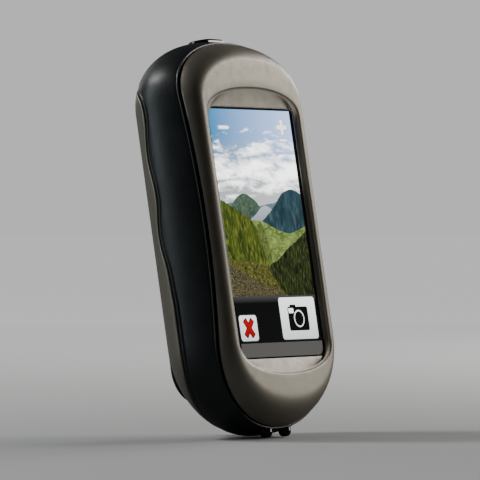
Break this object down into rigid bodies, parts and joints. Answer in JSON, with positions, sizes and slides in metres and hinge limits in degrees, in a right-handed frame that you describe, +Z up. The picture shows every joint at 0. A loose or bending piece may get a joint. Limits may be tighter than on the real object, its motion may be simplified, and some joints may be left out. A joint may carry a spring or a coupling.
{
  "type": "handheld gps unit",
  "caption": "Pocket satellite navigator with a portrait touch screen, wrap-round rubber grip and removable battery cover with a twist latch.",
  "frame": {"origin": "centre of the overall box's underside, under the feet", "axes": "+Z up along the unit's length, +X to the right as the screen is read, -Y out of the screen, +Y out of the battery side"},
  "size_m": [0.058, 0.035, 0.114],
  "materials": {
    "taupe_paint": "satin warm-grey painted plastic",
    "black_rubber": "fine-textured soft black",
    "black_plastic": "matt black moulded",
    "gloss_black": "polished black",
    "seal_rubber": "matt grey-black",
    "window_glass": "polished, over the lit display",
    "bright_steel": "bright",
    "screw_steel": "blackened",
    "board_green": "solder mask",
    "flex_amber": "polyimide film",
    "antenna_ceramic": "unglazed, silvered on top",
    "cell_wrap": "printed film sleeve, no lettering"
  },
  "bodies": {
    "unit": {"front_bezel": "taupe_paint", "grip_band": "black_rubber", "mid_housing": "black_plastic", "rear_panel": "black_plastic", "lcd_frame": "black_plastic", "beeper": "black_plastic", "power_switch": "black_plastic", "memory_card": "black_plastic", "camera_module": "black_plastic", "foot_left": "gloss_black", "foot_right": "gloss_black", "window_gasket": "seal_rubber", "body_seal": "seal_rubber", "bay_seal": "seal_rubber", "touch_window": "window_glass", "camera_lens": "window_glass", "lcd_module": "bright_steel", "shield_can": "bright_steel", "usb_port": "bright_steel", "card_slot": "bright_steel", "battery_spring_left": "bright_steel", "battery_spring_right": "bright_steel", "contact_left": "bright_steel", "contact_right": "bright_steel", "contact_bridge": "bright_steel", "lens_ring": "bright_steel", "case_screw_1": "screw_steel", "case_screw_2": "screw_steel", "case_screw_3": "screw_steel", "case_screw_4": "screw_steel", "main_board": "board_green", "display_flex": "flex_amber", "patch_antenna": "antenna_ceramic", "battery_left": "cell_wrap", "battery_right": "cell_wrap"},
    "power_key": {"power_key": "gloss_black"},
    "weather_cap": {"weather_cap": "black_rubber"},
    "cover": {"battery_cover": "taupe_paint", "mount_spine": "black_plastic", "spine_screw_upper": "screw_steel", "spine_screw_lower": "screw_steel"},
    "latch": {"latch_disc": "gloss_black", "latch_cam": "black_plastic", "cam_screw": "screw_steel"},
    "ring": {"latch_ring": "bright_steel"}
  },
  "joints": [
    {"name": "power_press", "type": "slide", "parent": "unit", "child": "power_key", "axis": [0, 0, -1], "range_m": [0, 0.0005], "stiffness_N_per_m": 1500},
    {"name": "cap_swing", "type": "hinge", "parent": "unit", "child": "weather_cap", "pos_m": [0, -0.0017, 0.0016], "axis": [1, 0, 0], "range_deg": [0, 90]},
    {"name": "cover_lift", "type": "slide", "parent": "unit", "child": "cover", "axis": [0, 1, 0], "range_m": [0, 0.04]},
    {"name": "latch_turn", "type": "hinge", "parent": "cover", "child": "latch", "pos_m": [0, 0.0144, 0.024], "axis": [0, 1, 0], "range_deg": [0, 90]},
    {"name": "ring_flip", "type": "hinge", "parent": "latch", "child": "ring", "pos_m": [0, 0.0162, 0.026], "axis": [1, 0, 0], "range_deg": [0, 95]}
  ]
}
